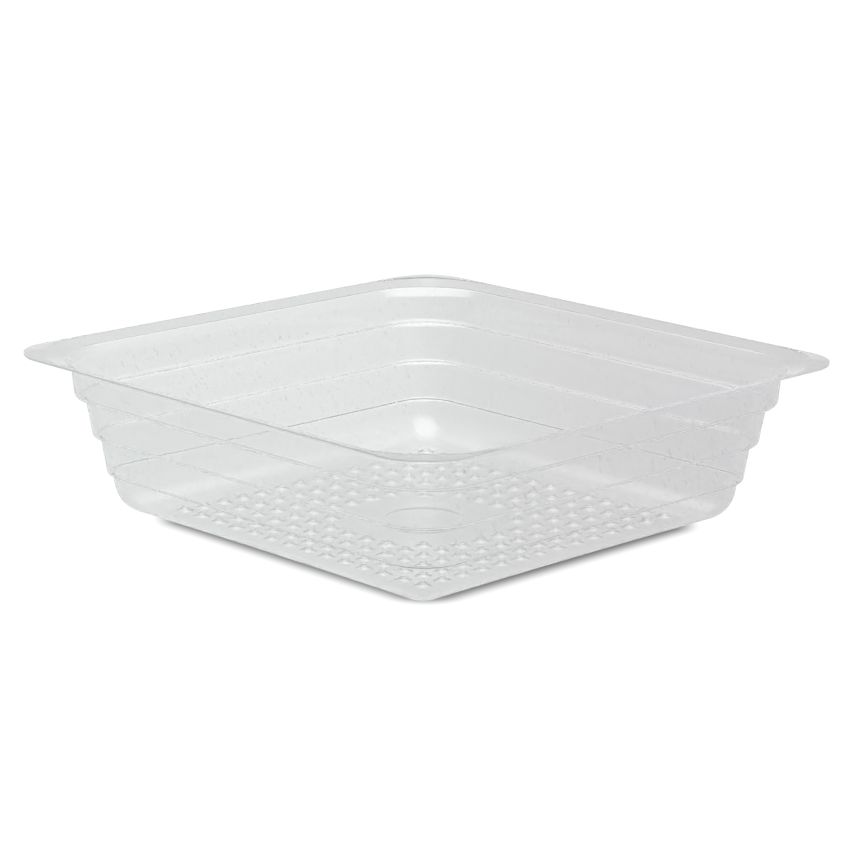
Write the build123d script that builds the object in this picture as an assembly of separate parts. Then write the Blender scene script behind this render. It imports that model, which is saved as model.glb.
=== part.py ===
from build123d import *
from math import atan2, cos, hypot, sin
import os

# A clear thermoformed tray: one thin sheet drawn into a square, open-topped pan whose sides step
# inward in four tiers. The floor bulges gently down to a smooth disc, on which the tray stands.
# The origin is under the middle of that disc. Millimetres, +Z up, sides parallel to X and Y.

# Driving dimensions
WIDTH = 230.0            # over the flange, each way
SHEET = 0.6              # thickness of the plastic
FLANGE_WIDTH = 10.0      # from the wall's top to the straight outer edge
FLANGE_SLOPE = 0.24      # the flange rises outward by this much per millimetre
EAR_SLOPE = 0.04         # beyond the line of the straight edges, at the corners, it is nearly level
FLANGE_CORNER = 20.5     # corner radius of the flange's outer edge
MOUTH_HEIGHT = 63.5      # top face of the sheet where the flange's line meets the wall's
LEDGE_HEIGHTS = (50.0, 34.3, 19.1)  # top faces of the three ledges
CORNER_CENTRE = 75.4     # every corner of the pan is an arc about (+-this, +-this)

# Half-widths of the outer face at the top and the bottom of each tier's wall, from the mouth down
TIER_1 = (WIDTH / 2 - FLANGE_WIDTH, 103.7)
TIER_2 = (99.7, 97.0)
TIER_3 = (94.1, 91.6)
TIER_4_TOP = 89.6

MOUTH_RADIUS = 3.5       # the soft round over which the flange turns down, on the sheet's mid line
FOLD_RADIUS = 1.2        # folds at the ledges and the ears, on the mid line
BASE_RADIUS = 12.4       # the round between the lowest wall and the floor, on the mid line
WALL_CUT = 3.4           # a node ends this far below the fold that it contains

BORDER_RISE = 2.4        # the floor's border stands this far above its middle
FLAT_HALF = 34.0         # half-width of the flat middle of the floor
DISC_RADIUS = 31.2       # the smooth disc in that middle
RING_RADIUS = 16.5       # a fine raised ring on the disc
RING_WIDTH = 1.0
RING_HEIGHT = 0.3

BUMP_PITCH = 10.1
BUMP_ROWS = 14           # across and along
BUMP_HALF = 2.6          # half-width of a bump at the floor
BUMP_TOP_HALF = 0.9
BUMP_HEIGHT = 1.7

# Worked out
MID = SHEET / 2
MOUTH_MID = MOUTH_HEIGHT - MID
LEDGE_MIDS = [height - MID for height in LEDGE_HEIGHTS]
BORDER_MID = BORDER_RISE + MID
WALL_DRAFT = (TIER_3[0] - TIER_3[1]) / (LEDGE_HEIGHTS[1] - LEDGE_HEIGHTS[2])
FLANGE_REACH = WIDTH / 2 + (2**0.5 - 1) * (WIDTH / 2 - CORNER_CENTRE)  # past the corner tips
CLEAR = Color(0.86, 0.88, 0.88, 0.35)
UPWARD = (Align.CENTER, Align.CENTER, Align.MIN)  # a primitive that starts at its own z = 0


def unit(a, b):
    length = hypot(b[0] - a[0], b[1] - a[1])
    return ((b[0] - a[0]) / length, (b[1] - a[1]) / length)


def at_height(a, b, z):
    """The point at height z on the line from a to b."""
    share = (z - a[1]) / (b[1] - a[1])
    return (a[0] + (b[0] - a[0]) * share, z)


def skin(corners, radii, side):
    """One face of the sheet: the mid line moved sideways by side, its folds still concentric.
    corners are (half-width, height) points, and radii has one fold radius for each inner corner."""
    moved, folds = [], []
    for i, point in enumerate(corners):
        before = unit(corners[i - 1], point) if i else unit(point, corners[1])
        after = unit(point, corners[i + 1]) if i + 1 < len(corners) else before
        turn = atan2(before[0] * after[1] - before[1] * after[0],
                     before[0] * after[0] + before[1] * after[1])
        angle = atan2(before[1], before[0]) + turn / 2
        reach = side / cos(turn / 2)
        moved.append((point[0] - sin(angle) * reach, point[1] + cos(angle) * reach))
        if 0 < i < len(corners) - 1:
            folds.append(radii[i - 1] + (side if turn < 0 else -side))
    return FilletPolyline(*moved, radius=folds)


def swept(corners, radii):
    """The ring that this stretch of sheet makes round the pan: straight sides, arcs at the corners."""
    inner = skin(corners, radii, MID)
    outer = skin(corners, radii, -MID)
    ends = [Line(inner @ 0, outer @ 0), Line(inner @ 1, outer @ 1)]
    section = Pos(0, CORNER_CENTRE, 0) * (Plane.XZ * make_face([inner, outer] + ends))
    side = extrude(section, 2 * CORNER_CENTRE, dir=(0, -1, 0))
    corner = revolve(section, Axis((CORNER_CENTRE, CORNER_CENTRE, 0), (0, 0, 1)), 90)
    quarter = side + corner
    return quarter + [Rot(0, 0, 90 * n) * quarter for n in (1, 2, 3)]


def floor_rise(x, y):
    """How far the floor's slopes stand above its middle at (x, y)."""
    out = max(abs(x), abs(y)) - FLAT_HALF
    return max(0.0, out) * BORDER_RISE / (CORNER_CENTRE - FLAT_HALF)


def dish(lift):
    """Everything above the floor's slopes, up to the border, lifted by lift."""
    flat = Pos(0, 0, lift) * Rectangle(2 * FLAT_HALF, 2 * FLAT_HALF)
    border = Pos(0, 0, lift + BORDER_RISE) * Rectangle(2 * CORNER_CENTRE, 2 * CORNER_CENTRE)
    return loft([flat, border], ruled=True)


def bump_places():
    """The square lattice of bumps, less those that would touch the smooth disc."""
    steps = [(n - (BUMP_ROWS - 1) / 2) * BUMP_PITCH for n in range(BUMP_ROWS)]
    return [(x, y) for x in steps for y in steps if hypot(x, y) > DISC_RADIUS + 2**0.5 * BUMP_HALF]


def bumped_floor():
    """The floor round the disc: a dished sheet with hollow bumps pressed up out of it."""
    border = Pos(0, 0, BORDER_RISE) * Box(2 * CORNER_CENTRE, 2 * CORNER_CENTRE, SHEET, align=UPWARD)
    sheet = dish(0) + border - dish(SHEET) - Cylinder(DISC_RADIUS, 4 * SHEET)
    base = 2 * BUMP_HALF + 2 * (BUMP_HALF - BUMP_TOP_HALF) * MID / BUMP_HEIGHT
    top = Pos(0, 0, BUMP_HEIGHT + MID) * Rectangle(2 * BUMP_TOP_HALF, 2 * BUMP_TOP_HALF)
    bump = loft([Rectangle(base, base), top], ruled=True)
    places = [(x, y, floor_rise(x, y) - MID) for x, y in bump_places()]
    raised = [Pos(x, y, z + SHEET) * bump for x, y, z in places]
    hollows = [Pos(x, y, z) * bump for x, y, z in places]
    return sheet + raised - hollows


def centre_disc():
    """The smooth disc in the middle of the floor, with its fine ring."""
    disc = Cylinder(DISC_RADIUS, SHEET, align=UPWARD)
    ring = Cylinder(RING_RADIUS + RING_WIDTH / 2, SHEET + RING_HEIGHT, align=UPWARD)
    return disc + (ring - Cylinder(RING_RADIUS - RING_WIDTH / 2, 4 * SHEET))


def write(name, shape):
    solid = shape.solids()[0]
    solid.label = name
    solid.color = CLEAR
    export_step(solid, f"parts/{name}.step")
    print(f"{name}: {len(shape.solids())} solid, {solid.volume:.0f} mm3, valid {solid.is_valid}")


os.makedirs("parts", exist_ok=True)

# The sheet's mid line from the flange's outer edge down to the floor, as (half-width, height)
mouth = (TIER_1[0] - MID, MOUTH_MID)
side_edge = (WIDTH / 2, MOUTH_MID + FLANGE_SLOPE * (WIDTH / 2 - mouth[0]))
ear_end = (FLANGE_REACH, side_edge[1] + EAR_SLOPE * (FLANGE_REACH - side_edge[0]))
below = (TIER_2[0], TIER_3[0], TIER_4_TOP)
ledges = [[(wall[1] - MID, z), (inner - MID, z)]
          for wall, z, inner in zip((TIER_1, TIER_2, TIER_3), LEDGE_MIDS, below)]
foot = (TIER_4_TOP - MID - WALL_DRAFT * (LEDGE_MIDS[2] - BORDER_MID), BORDER_MID)
floor_edge = (CORNER_CENTRE, BORDER_MID)

# The sheet is cut across under each fold, so that neighbouring nodes meet face to face.
wall_tops = [mouth] + [ledge[1] for ledge in ledges]
wall_feet = [ledge[0] for ledge in ledges] + [foot]
cuts = [at_height(top, bottom, top[1] - WALL_CUT) for top, bottom in zip(wall_tops, wall_feet)]

flange = swept([ear_end, side_edge, mouth, cuts[0]], [FOLD_RADIUS, MOUTH_RADIUS])
outline = extrude(RectangleRounded(WIDTH, WIDTH, FLANGE_CORNER), 2 * MOUTH_HEIGHT)
write("rim_flange", flange & outline)
for n, ledge in enumerate(ledges):
    write(f"tier_{n + 1}_wall", swept([cuts[n], *ledge, cuts[n + 1]], [FOLD_RADIUS, FOLD_RADIUS]))
write("base_wall", swept([cuts[3], foot, floor_edge], [BASE_RADIUS]))
write("bumped_floor", bumped_floor())
write("centre_disc", centre_disc())
print(f"{len(bump_places())} bumps")
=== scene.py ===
from math import atan2, cos, hypot, pi, radians, sin, tan

import bmesh
import bpy
from mathutils import Matrix, Vector
from mathutils.geometry import delaunay_2d_cdt

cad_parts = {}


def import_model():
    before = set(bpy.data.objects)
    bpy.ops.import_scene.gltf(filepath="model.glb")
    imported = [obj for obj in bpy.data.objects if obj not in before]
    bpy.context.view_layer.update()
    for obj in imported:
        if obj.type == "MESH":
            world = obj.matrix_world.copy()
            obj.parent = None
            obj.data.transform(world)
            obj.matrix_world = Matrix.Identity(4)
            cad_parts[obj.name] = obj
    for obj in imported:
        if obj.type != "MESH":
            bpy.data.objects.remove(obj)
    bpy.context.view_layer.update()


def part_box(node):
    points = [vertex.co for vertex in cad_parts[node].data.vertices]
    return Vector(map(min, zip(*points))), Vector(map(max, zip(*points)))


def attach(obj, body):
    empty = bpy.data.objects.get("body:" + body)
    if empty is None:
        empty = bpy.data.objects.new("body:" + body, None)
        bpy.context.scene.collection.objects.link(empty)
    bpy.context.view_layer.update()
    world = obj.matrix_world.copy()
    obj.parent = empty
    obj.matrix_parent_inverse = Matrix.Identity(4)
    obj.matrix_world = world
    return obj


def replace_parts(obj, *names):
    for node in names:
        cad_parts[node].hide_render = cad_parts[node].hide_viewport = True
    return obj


# A clear thermoformed tray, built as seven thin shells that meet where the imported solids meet. Each
# shell has both faces of the sheet, so light bends in it as it does in the real plastic. Lengths are
# in metres unless a name says otherwise.

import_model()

MM = 0.001
MID = 0.3 * MM                             # half the sheet's thickness

# From the frame
HALF_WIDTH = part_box("rim_flange")[1].x     # to the flange's straight edges
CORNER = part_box("bumped_floor")[1].x       # every corner of the pan is an arc about (+-this, +-this)
DISC_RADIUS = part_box("centre_disc")[1].x

# The sheet's mid line, as (half-width, height)
MOUTH = (104.7 * MM, 63.2 * MM)            # where the flange's line meets the top wall's
MOUTH_LIP = (107.2 * MM, 63.8 * MM)        # the flange bends down here
THROAT = (104.45 * MM, 60.6 * MM)          # and turns into the wall here
LEDGE_1 = ((103.4 * MM, 49.7 * MM), (99.4 * MM, 49.7 * MM))
LEDGE_2 = ((96.7 * MM, 34.0 * MM), (93.8 * MM, 34.0 * MM))
LEDGE_3 = ((91.3 * MM, 18.8 * MM), (89.3 * MM, 18.8 * MM))
LIP_FOLD = 1.6 * MM
THROAT_FOLD = 2.4 * MM
LEDGE_FOLDS = (1.8 * MM, 1.4 * MM, 1.1 * MM)
WALL_DRAFT = 0.1645                        # how far the lowest wall leans in, per unit of height
WALL_CUT = 3.4 * MM                        # a piece ends this far below the fold that it contains
JUST_SHORT = 0.9999                        # share of the way to the floor that the base's round takes

FLANGE_SLOPE = 0.24
FLANGE_CORNER = 20.5 * MM
EAR_SLOPE = 0.05                           # each half of an ear rises this much towards the pan

# The floor
BORDER_MID = 2.9 * MM                      # mid line of the floor's border, above the table
BOWL_POWER = 1.25                          # how flat the middle of the floor is
BOWL_EDGE_SLOPE = 2 * BOWL_POWER * (BORDER_MID - MID) / CORNER
BUMP_PITCH = 10.1 * MM
BUMP_ROWS = 14
BUMP_HALF = 2.9 * MM
BUMP_HEIGHT = 1.7 * MM
BUMP_SQUARENESS = 3.2                      # 2 would give a round foot
BUMP_FLANK = 0.82                          # share of its half-width over which a bump rises
BUMP_CLEARANCE = 3.6 * MM                  # from the smooth disc to the nearest bump's middle
RING_RADIUS = 16.5 * MM
RING_HALF = 1.2 * MM
RING_HEIGHT = 0.16 * MM

# How finely the shells are divided
SIDE_STEPS = 30                            # stations along each straight side
CORNER_STEPS = 36                          # and round each corner
FOLD_STEPS = 9
BASE_FOLD_STEPS = 14
FLANGE_STEPS = 14                          # across the flange
BUMP_STEPS = 6                             # across half a bump
BETWEEN_CLEARANCE = 2 * MM                 # from the disc to the nearest point between bumps
DISC_SEGMENTS = 160
DISC_RINGS_MM = (0.5, 3, 6, 9, 12, 14.5, 15.8, 16.0, 16.2, 16.35, 16.5, 16.65, 16.8, 17.0, 17.2,
                 18.5, 21, 24, 27, 29.5)   # closest together at the fine ring
DISC_EDGE = 0.9997                         # a face nearer than this share of its radius is the disc's
SAME_POINT = 1e-7                          # for the triangulation
WELD = 0.004 * MM                          # points nearer than this become one
SHARP = radians(60)

# The plastic
SHEET_TINT = (0.92, 0.922, 0.922, 1)
SCRATCH_TINT = (0.55, 0.53, 0.51, 1)
SHADOW_TINT = (0.92, 0.92, 0.92, 1)
CUT_EDGE_TINT = (0.66, 0.65, 0.70, 1)
REFRACTION = 1.5
ROUGHNESS = (0.035, 0.055)
SCUFF_RANGE = (0.35, 0.75)                 # of the noise that drives the roughness
SCUFF_SCALE = (300, 300, 1400)             # per metre
WAVE_SCALE = 38                            # per metre
HAIR_SIZE = (0.5 * MM, 0.5 * MM, 7 * MM)
HAIR_SLANT = (radians(35), 0, radians(8))
HAIR_RANGE = (0.7, 0.75)                   # only the noise's peaks make a hairline

# The camera
CAMERA_AZIMUTH = radians(45.227)           # from -Y towards +X
CAMERA_HEIGHT = radians(14.46)
CAMERA_ROLL = radians(0.665)
CAMERA_DISTANCE = 1.15107
CAMERA_LENS_MM = 126.57
AIM = Vector((0, 0, 38.665 * MM))
AIM_SHIFT = -0.246 * MM

# The table and the backdrop glow, and the camera sees them this bright
BLEACHED = 1.02
TABLE_RADIUS = 0.8
THROUGH_LEFT = (0.79, 0.815, 0.80)         # the table's glow towards the plastic; the darker right is painted shade
THROUGH_RIGHT = (0.705, 0.69, 0.705)
THROUGH_RANGE = (-0.06, 0.14)              # the stretch over which left becomes right
SHADOW_SHIFT = 0.8 * MM                    # to the right
SHADOW_SQUARE = 61 * MM                    # half-width of the square that the line is drawn round
SHADOW_REACH = (9.5 * MM, 21 * MM)         # from it to where the line is darkest, and where it ends
SHADOW_LEVEL = 0.18

# The room that the plastic reflects. Each range is of the cosine to the direction that it names.
ROOM_LEFT, ROOM_RIGHT, RIGHT_RANGE = 0.4, 0.8, (-0.5, 0.6)
BACKDROP_LOW, BACKDROP_HIGH, BACKDROP_UP_RANGE = 0.85, 0.5, (0.0, 0.35)
BACKDROP_RANGE = (0.15, 0.6)
OVERHEAD, OVERHEAD_RANGE = 2.1, (0.67, 0.86)
KEY_AZIMUTH = radians(16)                  # to the right of the camera
KEY_ELEVATION = radians(62)
KEY_RANGE = (cos(radians(52)), cos(radians(12)))
KEY_GLOW = 2.9


# ---------------------------------------------------------------- the sheet's section

def unit(a, b):
    length = hypot(b[0] - a[0], b[1] - a[1])
    return ((b[0] - a[0]) / length, (b[1] - a[1]) / length)


def at_height(a, b, z):
    """The point at height z on the line from a to b."""
    share = (z - a[1]) / (b[1] - a[1])
    return (a[0] + (b[0] - a[0]) * share, z)


def turn_between(way_in, way_out):
    """The angle from one unit direction to the other, positive to the left."""
    return atan2(way_in[0] * way_out[1] - way_in[1] * way_out[0],
                 way_in[0] * way_out[0] + way_in[1] * way_out[1])


def folded(corners, radii, runs, turns=FOLD_STEPS):
    """The mid line through corners with round folds, as (half-width, height, normal) with the normal
    towards the inside of the pan. runs has the number of steps in each straight stretch, and each
    fold has turns steps, so that every section of a piece has the same number of points."""
    points = []

    def straight(a, b, steps):
        way = unit(a, b)
        for i in range(steps):
            share = i / steps
            points.append((a[0] + (b[0] - a[0]) * share, a[1] + (b[1] - a[1]) * share,
                           (way[1], -way[0])))

    start = corners[0]
    for before, here, after, radius, steps in zip(corners, corners[1:], corners[2:], radii, runs):
        way_in, way_out = unit(before, here), unit(here, after)
        turn = turn_between(way_in, way_out)
        reach = radius * tan(abs(turn) / 2)
        arc_start = (here[0] - way_in[0] * reach, here[1] - way_in[1] * reach)
        straight(start, arc_start, steps)
        side = 1 if turn > 0 else -1
        centre = (arc_start[0] - way_in[1] * side * radius, arc_start[1] + way_in[0] * side * radius)
        first = atan2(way_in[1], way_in[0])
        for i in range(turns):
            heading = first + turn * i / turns
            points.append((centre[0] + sin(heading) * side * radius,
                           centre[1] - cos(heading) * side * radius,
                           (sin(heading), -cos(heading))))
        start = (here[0] + way_out[0] * reach, here[1] + way_out[1] * reach)
    straight(start, corners[-1], runs[-1])
    way = unit(start, corners[-1])
    points.append((*corners[-1], (way[1], -way[0])))
    return points


def stations():
    """Places round the pan, each a (foot, direction): a half-width h is at
    foot + direction * (h - CORNER)."""
    found = []
    for quarter in range(4):
        turn = Matrix.Rotation(quarter * pi / 2, 2)
        for i in range(1, SIDE_STEPS):
            along = -CORNER + 2 * CORNER * i / SIDE_STEPS
            found.append((turn @ Vector((CORNER, along)), turn @ Vector((1, 0))))
        for i in range(CORNER_STEPS + 1):
            angle = pi / 2 * i / CORNER_STEPS
            found.append((turn @ Vector((CORNER, CORNER)), turn @ Vector((cos(angle), sin(angle)))))
    return found


STATIONS = stations()


# ---------------------------------------------------------------- meshes

def finished(name, bm, materials):
    """A piece from bm: welded, smooth but for the sheet's cut edges, and riding on the root."""
    bmesh.ops.remove_doubles(bm, verts=bm.verts, dist=WELD)
    bmesh.ops.dissolve_degenerate(bm, edges=bm.edges, dist=WELD / 2)
    bmesh.ops.recalc_face_normals(bm, faces=bm.faces)
    mesh = bpy.data.meshes.new(name)
    bm.to_mesh(mesh)
    bm.free()
    for material in materials:
        mesh.materials.append(material)
    mesh.polygons.foreach_set("use_smooth", [True] * len(mesh.polygons))
    mesh.set_sharp_from_angle(angle=SHARP)
    piece = bpy.data.objects.new(name, mesh)
    bpy.context.scene.collection.objects.link(piece)
    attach(piece, "root")
    return piece


def ring(name, section_at, materials, first_edge=1):
    """A closed shell swept round the pan. section_at(foot, direction) gives the mid line there, from
    the top down. Its lower cut edge has material slot 1, and its upper one has slot first_edge."""
    bm = bmesh.new()
    loops = []
    for foot, direction in STATIONS:
        section = section_at(foot, direction)
        sides = []
        for offset in (MID, -MID):
            sides.append([(h + normal[0] * offset, z + normal[1] * offset) for h, z, normal in section])
        outline = sides[0] + sides[1][::-1]
        loop = []
        for h, z in outline:
            place = foot + direction * max(h - CORNER, 0)
            loop.append(bm.verts.new((place.x, place.y, z)))
        loops.append(loop)
    count = len(loops[0])
    for here, following in zip(loops, loops[1:] + loops[:1]):
        for i in range(count):
            j = (i + 1) % count
            face = bm.faces.new((here[i], here[j], following[j], following[i]))
            if i == count // 2 - 1:
                face.material_index = 1
            elif i == count - 1:
                face.material_index = first_edge
    return finished(name, bm, materials)


def flange_reach(direction):
    """How far the flange's outer edge is from a station's foot, along direction."""
    along, across = max(abs(direction.x), abs(direction.y)), min(abs(direction.x), abs(direction.y))
    straight = (HALF_WIDTH - CORNER) / along
    to_centre = HALF_WIDTH - FLANGE_CORNER - CORNER
    if straight * across <= to_centre:
        return straight
    middle = to_centre * (along + across)
    return middle + (middle * middle - 2 * to_centre**2 + FLANGE_CORNER**2) ** 0.5


def rim_section(foot, direction, cut):
    """The flange: it slopes up from the mouth, and the ears at its corners are slightly mitred."""
    edge_height = MOUTH[1] + FLANGE_SLOPE * (HALF_WIDTH - MOUTH[0])
    fold = folded([(HALF_WIDTH, edge_height), MOUTH_LIP, THROAT, cut], [LIP_FOLD, THROAT_FOLD],
                  [1, 2, 1])[1:]
    end = CORNER + flange_reach(direction)

    def ear_height(h):
        place = foot + direction * (h - CORNER)
        return edge_height + EAR_SLOPE * (HALF_WIDTH - max(abs(place.x), abs(place.y)))

    brow = min(end, HALF_WIDTH)
    brow_height = ear_height(brow)
    inner, inner_height = fold[0][:2]
    points = []
    for i in range(FLANGE_STEPS):
        h = end + (inner - end) * i / FLANGE_STEPS
        if h < brow:
            z = inner_height + (brow_height - inner_height) * (h - inner) / (brow - inner)
        else:
            z = ear_height(h)
        points.append((h, z))
    sloped = []
    for here, following in zip(points, points[1:] + [fold[0][:2]]):
        way = unit(here, following)
        sloped.append((*here, (way[1], -way[0])))
    return sloped + fold


def base_section(foot, cut, wall_foot):
    """The lowest wall and the large round that brings it onto the floor's border, whose slope
    varies along each side."""
    edge = (CORNER, BORDER_MID)
    along = min(abs(foot.x), abs(foot.y)) / CORNER
    slope = BOWL_EDGE_SLOPE * (1 - along**2)
    lean = (cut[0] - wall_foot[0]) / (cut[1] - wall_foot[1])
    meet_h = (wall_foot[0] - CORNER * lean * slope) / (1 - lean * slope)
    meet = (meet_h, BORDER_MID + slope * (meet_h - CORNER))
    turn = abs(turn_between(unit(cut, meet), unit(meet, edge)))
    reach = hypot(meet[0] - edge[0], meet[1] - edge[1]) * JUST_SHORT
    section = folded([cut, meet, edge], [reach / tan(turn / 2)], [3, 0], BASE_FOLD_STEPS)
    return section[:-1] + [(*edge, (0, 1))]


def smoothstep(share):
    return share * share * (3 - 2 * share)


def bowl(x, y):
    """Height of the floor's mid line at (x, y), without its bumps."""
    rise = 1 - (1 - (x / CORNER) ** 2) * (1 - (y / CORNER) ** 2)
    return MID + (BORDER_MID - MID) * max(rise, 0) ** BOWL_POWER


def bump_places():
    """The square lattice of bumps, less those too near the smooth disc."""
    steps = [(n - (BUMP_ROWS - 1) / 2) * BUMP_PITCH for n in range(BUMP_ROWS)]
    clear = DISC_RADIUS + BUMP_CLEARANCE
    return [(x, y) for x in steps for y in steps if hypot(x, y) > clear]


def bump_rise(u, v):
    """Height of a bump at (u, v), where its foot is a rounded square of half-width 1."""
    spread = (abs(u) ** BUMP_SQUARENESS + abs(v) ** BUMP_SQUARENESS) ** (1 / BUMP_SQUARENESS)
    return BUMP_HEIGHT * smoothstep(min(1, max(0, (1 - spread) / BUMP_FLANK)))


def two_faced(name, flat, faces, height, materials):
    """A closed shell from a flat triangulation: both faces of the sheet, and its cut edges."""
    bm = bmesh.new()
    top = [bm.verts.new((x, y, height(x, y) + MID)) for x, y in flat]
    bottom = [bm.verts.new((x, y, height(x, y) - MID)) for x, y in flat]
    for face in faces:
        bm.faces.new([top[i] for i in face])
        bm.faces.new([bottom[i] for i in reversed(face)])
    open_edges = [edge for edge in bm.edges if len(edge.link_faces) == 1]
    lower = dict(zip(top, bottom))
    for edge in open_edges:
        a, b = edge.verts
        if a in lower:
            bm.faces.new((a, b, lower[b], lower[a])).material_index = 1
    loose = [vert for vert in bm.verts if not vert.link_faces]
    bmesh.ops.delete(bm, geom=loose, context="VERTS")
    return finished(name, bm, materials)


def circle(radius):
    angles = [2 * pi * i / DISC_SEGMENTS for i in range(DISC_SEGMENTS)]
    return [Vector((radius * cos(angle), radius * sin(angle))) for angle in angles]


def bumped_floor(materials):
    """The floor round the smooth disc: a shallow bowl with the lattice of bumps."""
    sides = [-CORNER + 2 * CORNER * i / SIDE_STEPS for i in range(SIDE_STEPS + 1)]
    points = [Vector((side, CORNER * sign)) for sign in (-1, 1) for side in sides]
    points += [Vector((CORNER * sign, side)) for sign in (-1, 1) for side in sides[1:-1]]
    first_rim = len(points)
    points += circle(DISC_RADIUS)
    places = bump_places()
    grid = [n / BUMP_STEPS for n in range(-BUMP_STEPS, BUMP_STEPS + 1)]
    for x, y in places:
        points += [Vector((x + u * BUMP_HALF, y + v * BUMP_HALF)) for u in grid for v in grid]
    between = [(n - BUMP_ROWS / 2) * BUMP_PITCH for n in range(BUMP_ROWS + 1)]
    for x in between:
        for y in between:
            if hypot(x, y) > DISC_RADIUS + BETWEEN_CLEARANCE:
                points.append(Vector((x, y)))
    outline = [(first_rim + i, first_rim + (i + 1) % DISC_SEGMENTS) for i in range(DISC_SEGMENTS)]
    flat, _, faces, _, _, _ = delaunay_2d_cdt(points, outline, [], 0, SAME_POINT)
    kept = []
    for face in faces:
        middle = sum((flat[i] for i in face), Vector((0, 0))) / len(face)
        if middle.length > DISC_RADIUS * DISC_EDGE:
            kept.append(face)
    nearest = {}
    for x, y in places:
        nearest[(round(x / BUMP_PITCH - 0.5), round(y / BUMP_PITCH - 0.5))] = (x, y)

    def height(x, y):
        key = (round(x / BUMP_PITCH - 0.5), round(y / BUMP_PITCH - 0.5))
        rise = bowl(x, y)
        if key in nearest:
            centre = nearest[key]
            rise += bump_rise((x - centre[0]) / BUMP_HALF, (y - centre[1]) / BUMP_HALF)
        return rise

    return two_faced("bumped_floor_shell", flat, kept, height, materials)


def centre_disc(materials):
    """The smooth disc in the middle of the floor, with its fine ring."""
    rings = [circle(radius * MM) for radius in DISC_RINGS_MM] + [circle(DISC_RADIUS)]
    flat = [Vector((0, 0))] + [point for circle_points in rings for point in circle_points]
    faces = []
    for i in range(DISC_SEGMENTS):
        j = (i + 1) % DISC_SEGMENTS
        faces.append((0, 1 + i, 1 + j))
        for n in range(len(rings) - 1):
            inner, outer = 1 + n * DISC_SEGMENTS, 1 + (n + 1) * DISC_SEGMENTS
            faces.append((inner + i, outer + i, outer + j, inner + j))

    def height(x, y):
        away = abs(hypot(x, y) - RING_RADIUS) / RING_HALF
        return bowl(x, y) + RING_HEIGHT * smoothstep(max(0, 1 - away))

    return two_faced("centre_disc_shell", flat, faces, height, materials)


# ---------------------------------------------------------------- shader nodes

def node_tree(owner, output):
    """The owner's nodes and links, emptied, and the surface socket of a new output node."""
    owner.use_nodes = True
    nodes, links = owner.node_tree.nodes, owner.node_tree.links
    nodes.clear()
    return nodes, links, nodes.new(output).inputs["Surface"]


def added(nodes, kind, values):
    """A new node with plain values on some of its sockets."""
    node = nodes.new(kind)
    for name, value in values.items():
        node.inputs[name].default_value = value
    return node


def ramp(nodes, links, value, span, bottom, top, interpolation="SMOOTHSTEP"):
    """From bottom to top as value crosses span."""
    node = added(nodes, "ShaderNodeMapRange",
                 {"From Min": span[0], "From Max": span[1], "To Min": bottom, "To Max": top})
    node.interpolation_type = interpolation
    links.new(value, node.inputs["Value"])
    return node.outputs["Result"]


def mixed(nodes, links, factor, a, b):
    node = nodes.new("ShaderNodeMix")
    node.data_type = "FLOAT"
    for name, value in (("Factor", factor), ("A", a), ("B", b)):
        if isinstance(value, (int, float)):
            node.inputs[name].default_value = value
        else:
            links.new(value, node.inputs[name])
    return node.outputs["Result"]


def mixed_colour(nodes, links, factor, a, b):
    node = nodes.new("ShaderNodeMix")
    node.data_type = "RGBA"
    links.new(factor, node.inputs["Factor"])
    node.inputs[6].default_value = a       # the node's sockets for colours are these, by number
    node.inputs[7].default_value = b
    return node.outputs[2]


def vector_math(nodes, links, operation, first, second=(0, 0, 0)):
    node = nodes.new("ShaderNodeVectorMath")
    node.operation = operation
    links.new(first, node.inputs[0])
    node.inputs[1].default_value = second
    return node.outputs["Value" if operation in ("DOT_PRODUCT", "LENGTH") else "Vector"]


def mixed_shader(nodes, links, factor, a, b):
    node = nodes.new("ShaderNodeMixShader")
    for entry, value in zip(node.inputs, (factor, a, b)):
        links.new(value, entry)
    return node.outputs[0]


# ---------------------------------------------------------------- materials

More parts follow.
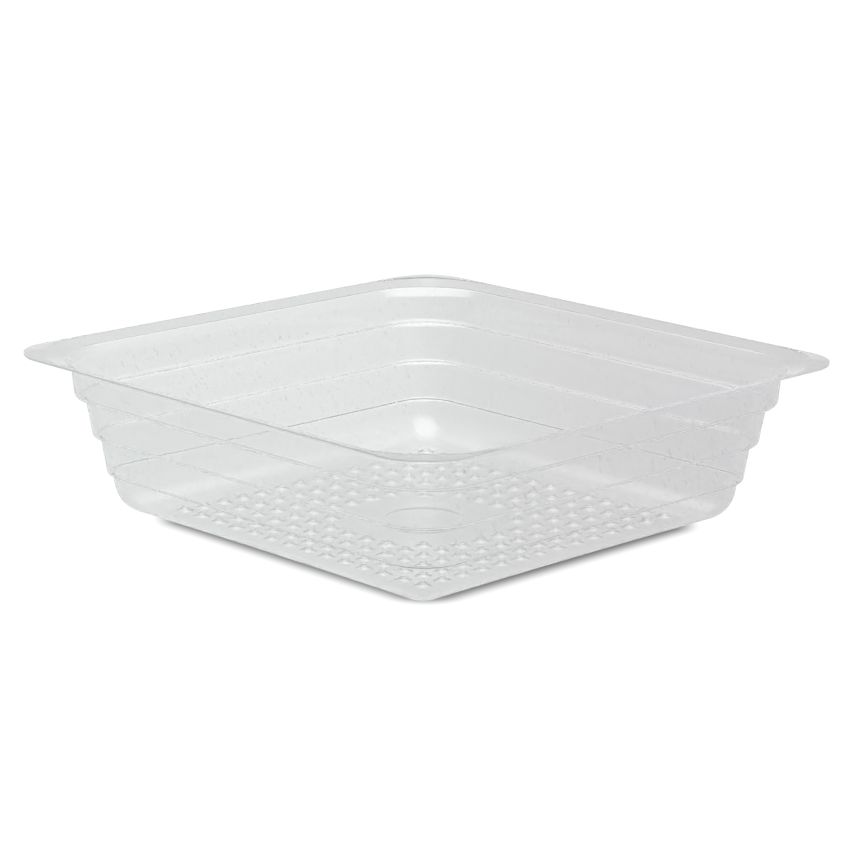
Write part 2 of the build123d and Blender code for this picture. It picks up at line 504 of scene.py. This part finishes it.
def clear_sheet():
    """Clear, faintly grey plastic: glossy, with soft draw waves, slight scuffs and hairlines."""
    material = bpy.data.materials.new("clear_sheet")
    nodes, links, surface = node_tree(material, "ShaderNodeOutputMaterial")
    plastic = added(nodes, "ShaderNodeBsdfPrincipled",
                    {"IOR": REFRACTION, "Transmission Weight": 0.97})
    place = nodes.new("ShaderNodeTexCoord").outputs["Object"]

    wave = added(nodes, "ShaderNodeTexNoise", {"Scale": WAVE_SCALE, "Detail": 2})
    bump = added(nodes, "ShaderNodeBump", {"Strength": 0.03, "Distance": 2 * MM})
    links.new(place, wave.inputs["Vector"])
    links.new(wave.outputs["Fac"], bump.inputs["Height"])
    links.new(bump.outputs["Normal"], plastic.inputs["Normal"])

    stretch = added(nodes, "ShaderNodeMapping", {"Scale": SCUFF_SCALE})
    scuffs = added(nodes, "ShaderNodeTexNoise", {"Scale": 1, "Detail": 3})
    links.new(place, stretch.inputs["Vector"])
    links.new(stretch.outputs["Vector"], scuffs.inputs["Vector"])
    gloss = ramp(nodes, links, scuffs.outputs["Fac"], SCUFF_RANGE, *ROUGHNESS, "LINEAR")
    links.new(gloss, plastic.inputs["Roughness"])

    slant = added(nodes, "ShaderNodeMapping", {"Rotation": HAIR_SLANT, "Scale": HAIR_SIZE})
    slant.vector_type = "TEXTURE"
    hairs = added(nodes, "ShaderNodeTexNoise", {"Scale": 1, "Detail": 1})
    links.new(place, slant.inputs["Vector"])
    links.new(slant.outputs["Vector"], hairs.inputs["Vector"])
    scratch = ramp(nodes, links, hairs.outputs["Fac"], HAIR_RANGE, 0, 1)
    tint = mixed_colour(nodes, links, scratch, SHEET_TINT, SCRATCH_TINT)
    links.new(tint, plastic.inputs["Base Color"])

    through = added(nodes, "ShaderNodeBsdfTransparent", {"Color": SHADOW_TINT})
    path = nodes.new("ShaderNodeLightPath")
    mix = mixed_shader(nodes, links, path.outputs["Is Shadow Ray"], plastic.outputs[0],
                       through.outputs[0])
    links.new(mix, surface)
    return material


def cut_edge():
    """The flange's trimmed edge, which the knife leaves slightly frosted."""
    material = bpy.data.materials.new("cut_edge")
    material.use_nodes = True
    plastic = material.node_tree.nodes["Principled BSDF"]
    plastic.inputs["Base Color"].default_value = CUT_EDGE_TINT
    plastic.inputs["Roughness"].default_value = 0.5
    plastic.inputs["Transmission Weight"].default_value = 0.3
    return material


def unseen():
    """For the faces where two shells meet, inside the sheet: nothing shows there."""
    material = bpy.data.materials.new("inside_the_sheet")
    nodes, links, surface = node_tree(material, "ShaderNodeOutputMaterial")
    links.new(nodes.new("ShaderNodeBsdfTransparent").outputs[0], surface)
    return material


# ---------------------------------------------------------------- the tray

def build_tray():
    """Seven shells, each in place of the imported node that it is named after."""
    sheet, inside = clear_sheet(), unseen()
    both = [sheet, inside]
    wall_foot = (LEDGE_3[1][0] - WALL_DRAFT * (LEDGE_3[1][1] - BORDER_MID), BORDER_MID)
    wall_tops = [MOUTH, LEDGE_1[1], LEDGE_2[1], LEDGE_3[1]]
    wall_feet = [LEDGE_1[0], LEDGE_2[0], LEDGE_3[0], wall_foot]
    cuts = [at_height(top, foot, top[1] - WALL_CUT) for top, foot in zip(wall_tops, wall_feet)]

    rim = ring("rim_flange_shell", lambda *station: rim_section(*station, cuts[0]),
               [sheet, inside, cut_edge()], first_edge=2)
    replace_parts(rim, "rim_flange")
    for n, ledge in enumerate((LEDGE_1, LEDGE_2, LEDGE_3)):
        section = folded([cuts[n], *ledge, cuts[n + 1]], [LEDGE_FOLDS[n]] * 2, [5, 2, 2])
        wall = ring(f"tier_{n + 1}_wall_shell", lambda *_, section=section: section, both)
        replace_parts(wall, f"tier_{n + 1}_wall")
    base = ring("base_wall_shell", lambda foot, _: base_section(foot, cuts[3], wall_foot), both)
    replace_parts(base, "base_wall")
    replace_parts(bumped_floor(both), "bumped_floor")
    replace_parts(centre_disc(both), "centre_disc")


# ---------------------------------------------------------------- stage, light, camera

def camera_right():
    return Vector((cos(CAMERA_AZIMUTH), sin(CAMERA_AZIMUTH), 0))


def stage_floor():
    """A glowing white table. The camera sees it white, with a painted shadow round the tray's foot: a
    soft dark line drawn on it, which no light casts. The plastic sees it darker, most of all on the
    right, which is painted shade."""
    bm = bmesh.new()
    bmesh.ops.create_circle(bm, cap_ends=True, segments=96, radius=TABLE_RADIUS)
    mesh = bpy.data.meshes.new("table")
    bm.to_mesh(mesh)
    bm.free()
    table = bpy.data.objects.new("table", mesh)
    bpy.context.scene.collection.objects.link(table)
    material = bpy.data.materials.new("white_table")
    mesh.materials.append(material)
    nodes, links, surface = node_tree(material, "ShaderNodeOutputMaterial")
    place = nodes.new("ShaderNodeNewGeometry").outputs["Position"]

    right = camera_right()
    square = (SHADOW_SQUARE, SHADOW_SQUARE, 0)
    from_middle = vector_math(nodes, links, "SUBTRACT", place, right * SHADOW_SHIFT)
    distance = vector_math(nodes, links, "ABSOLUTE", from_middle)
    past_square = vector_math(nodes, links, "SUBTRACT", distance, square)
    outside = vector_math(nodes, links, "MAXIMUM", past_square)
    away = vector_math(nodes, links, "LENGTH", outside)
    plain = added(nodes, "ShaderNodeEmission", {"Color": (BLEACHED, BLEACHED, BLEACHED, 1)})
    open_table = ramp(nodes, links, away, SHADOW_REACH, SHADOW_LEVEL, 1)
    links.new(open_table, plain.inputs["Strength"])

    # Painted shade: the glow that the plastic sees darkens towards the camera's right
    rightward = vector_math(nodes, links, "DOT_PRODUCT", place, right)
    across = ramp(nodes, links, rightward, THROUGH_RANGE, 0, 1)
    seen_through = mixed_colour(nodes, links, across, (*THROUGH_LEFT, 1), (*THROUGH_RIGHT, 1))
    dimmed = nodes.new("ShaderNodeEmission")
    links.new(seen_through, dimmed.inputs["Color"])
    path = nodes.new("ShaderNodeLightPath")
    mix = mixed_shader(nodes, links, path.outputs["Is Camera Ray"], dimmed.outputs[0],
                       plain.outputs[0])
    links.new(mix, surface)


def camera():
    back = Vector((sin(CAMERA_AZIMUTH) * cos(CAMERA_HEIGHT), -cos(CAMERA_AZIMUTH) * cos(CAMERA_HEIGHT),
                   sin(CAMERA_HEIGHT)))
    level_right = camera_right()
    level_up = back.cross(level_right)
    right = level_right * cos(CAMERA_ROLL) + level_up * sin(CAMERA_ROLL)
    up = level_up * cos(CAMERA_ROLL) - level_right * sin(CAMERA_ROLL)
    data = bpy.data.cameras.new("camera")
    data.sensor_width = 36
    data.lens = CAMERA_LENS_MM
    data.clip_start = 0.01
    data.clip_end = 50
    seer = bpy.data.objects.new("camera", data)
    bpy.context.scene.collection.objects.link(seer)
    turn = Matrix((right, up, back)).transposed().to_4x4()
    seer.matrix_world = Matrix.Translation(AIM + back * CAMERA_DISTANCE + right * AIM_SHIFT) @ turn
    bpy.context.scene.camera = seer


def world():
    """A room that glows: a backdrop that is paler low down, sides that are darker on the left, and a
    broad light overhead, brightest towards the camera's side. The camera itself sees only white."""
    studio = bpy.data.worlds.new("studio")
    bpy.context.scene.world = studio
    nodes, links, surface = node_tree(studio, "ShaderNodeOutputWorld")
    way = nodes.new("ShaderNodeTexCoord").outputs["Generated"]

    def toward(direction):
        return vector_math(nodes, links, "DOT_PRODUCT", way, direction)

    height = toward((0, 0, 1))
    sides = ramp(nodes, links, toward(camera_right()), RIGHT_RANGE, ROOM_LEFT, ROOM_RIGHT)
    sweep = ramp(nodes, links, height, BACKDROP_UP_RANGE, BACKDROP_LOW, BACKDROP_HIGH)
    away_from_camera = toward((-sin(CAMERA_AZIMUTH), cos(CAMERA_AZIMUTH), 0))
    behind = ramp(nodes, links, away_from_camera, BACKDROP_RANGE, 0, 1)
    above = ramp(nodes, links, height, OVERHEAD_RANGE, 0, 1)
    room = mixed(nodes, links, above, mixed(nodes, links, behind, sides, sweep), OVERHEAD)
    way_round = CAMERA_AZIMUTH + KEY_AZIMUTH
    key = (sin(way_round) * cos(KEY_ELEVATION), -cos(way_round) * cos(KEY_ELEVATION),
           sin(KEY_ELEVATION))
    box = ramp(nodes, links, toward(key), KEY_RANGE, 0, 1)
    lit = mixed(nodes, links, box, room, KEY_GLOW)
    path = nodes.new("ShaderNodeLightPath")
    shown = mixed(nodes, links, path.outputs["Is Camera Ray"], lit, BLEACHED)
    glow = added(nodes, "ShaderNodeBackground", {"Color": (1, 1, 1, 1)})
    links.new(shown, glow.inputs["Strength"])
    links.new(glow.outputs[0], surface)


def settings():
    """Plain colours, and enough bounces to pass through every layer of the sheet."""
    scene = bpy.context.scene
    scene.view_settings.view_transform = "Standard"
    scene.cycles.max_bounces = 32
    scene.cycles.transmission_bounces = 32
    scene.cycles.transparent_max_bounces = 48
    scene.cycles.glossy_bounces = 8
    scene.cycles.diffuse_bounces = 4


build_tray()
stage_floor()
camera()
world()
settings()
